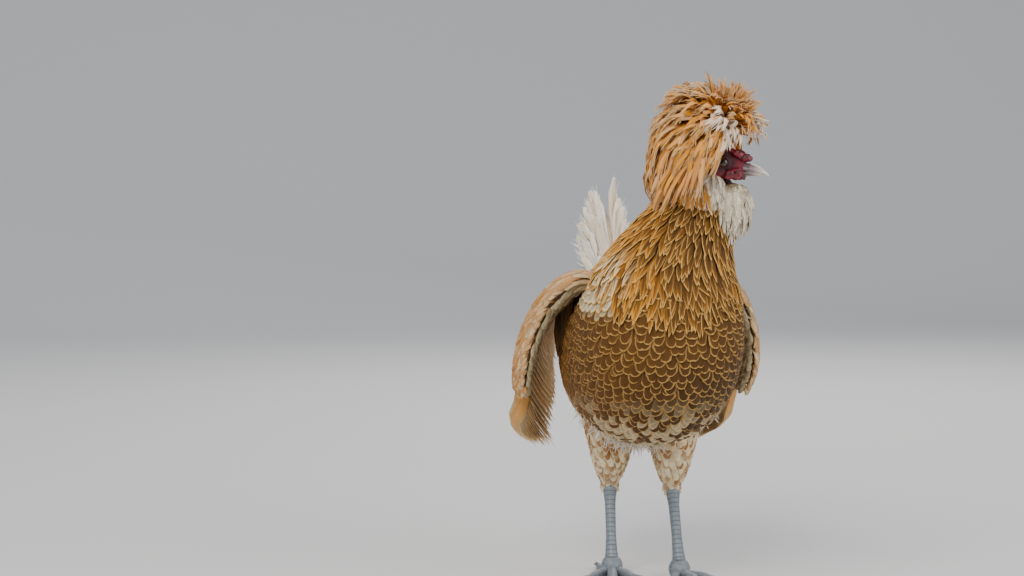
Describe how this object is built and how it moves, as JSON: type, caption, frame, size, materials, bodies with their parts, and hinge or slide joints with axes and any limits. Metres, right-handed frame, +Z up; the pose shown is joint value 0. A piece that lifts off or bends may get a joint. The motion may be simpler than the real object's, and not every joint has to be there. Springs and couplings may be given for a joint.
{
  "type": "polish crested hen model",
  "caption": "Life-size still model of a buff laced crested hen with a globe of crest feathers, a beard and drooped wings, standing on flat-soled feet.",
  "frame": {"origin": "on the floor, under the middle of the whole bird's bounding box", "axes": "+Z up; the bird's breast faces -Y, its left side is +X, and its head is turned 61 degrees to its left"},
  "size_m": [0.2254, 0.3586, 0.432],
  "materials": {
    "buff_plumage": "soft feather vanes, golden buff with pale lacing",
    "cream_plumage": "soft feather vanes, cream white",
    "red_skin": "bare wrinkled skin, slight sheen",
    "bill_horn": "smooth horn, satin",
    "slate_scales": "scaled skin, satin",
    "claw_horn": "smooth horn, satin",
    "eye_glossy": "polished, wet-looking"
  },
  "bodies": {
    "root": {"torso": "buff_plumage", "neck": "buff_plumage", "crest": "buff_plumage", "thigh_left": "buff_plumage", "thigh_right": "buff_plumage", "wing_left_arm": "buff_plumage", "wing_left_secondaries": "buff_plumage", "wing_left_primaries": "buff_plumage", "wing_right_arm": "buff_plumage", "wing_right_secondaries": "buff_plumage", "wing_right_primaries": "buff_plumage", "tail": "cream_plumage", "beard": "cream_plumage", "head": "red_skin", "comb": "red_skin", "wattle_left": "red_skin", "wattle_right": "red_skin", "upper_bill": "bill_horn", "lower_bill": "bill_horn", "eye_left": "eye_glossy", "eye_right": "eye_glossy", "shank_left": "slate_scales", "shank_right": "slate_scales", "foot_left": "slate_scales", "foot_right": "slate_scales", "claw_left_middle": "claw_horn", "claw_left_outer": "claw_horn", "claw_left_inner": "claw_horn", "claw_left_hind": "claw_horn", "claw_right_middle": "claw_horn", "claw_right_outer": "claw_horn", "claw_right_inner": "claw_horn", "claw_right_hind": "claw_horn"}
  },
  "joints": []
}
